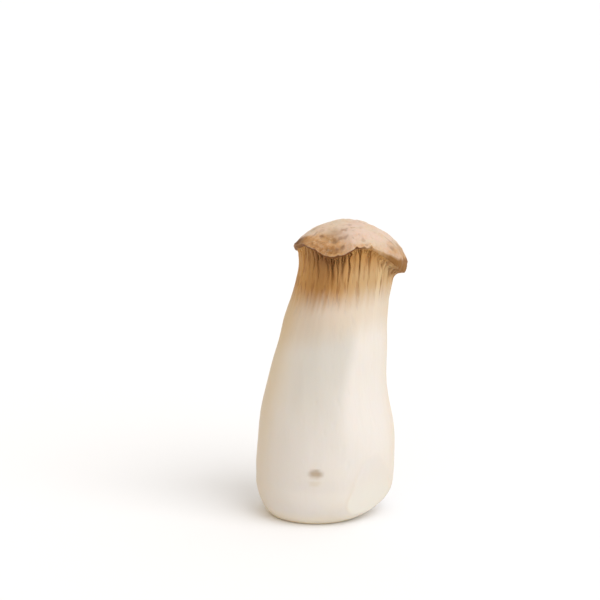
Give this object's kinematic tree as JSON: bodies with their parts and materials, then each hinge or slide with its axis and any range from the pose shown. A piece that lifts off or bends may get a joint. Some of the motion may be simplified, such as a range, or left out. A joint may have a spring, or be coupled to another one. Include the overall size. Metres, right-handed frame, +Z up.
{
  "type": "king oyster mushroom",
  "caption": "Whole king oyster mushroom with a thick pale stem, gills that run down the neck and a small tan cap, standing on its trimmed base.",
  "frame": {"origin": "centre of the flat cut at the base of the stem, on the surface that the mushroom stands on", "axes": "+Z up the mushroom from the cut to the crown of the cap; -Y is the front, where the cap's edge lifts and shows the gills; the cap leans towards +X"},
  "size_m": [0.0545, 0.0497, 0.1072],
  "materials": {
    "flesh": "soft matte mushroom flesh: creamy white stem, ochre gills and a tan cap skin"
  },
  "bodies": {
    "root": {"mushroom": "flesh"}
  },
  "joints": []
}
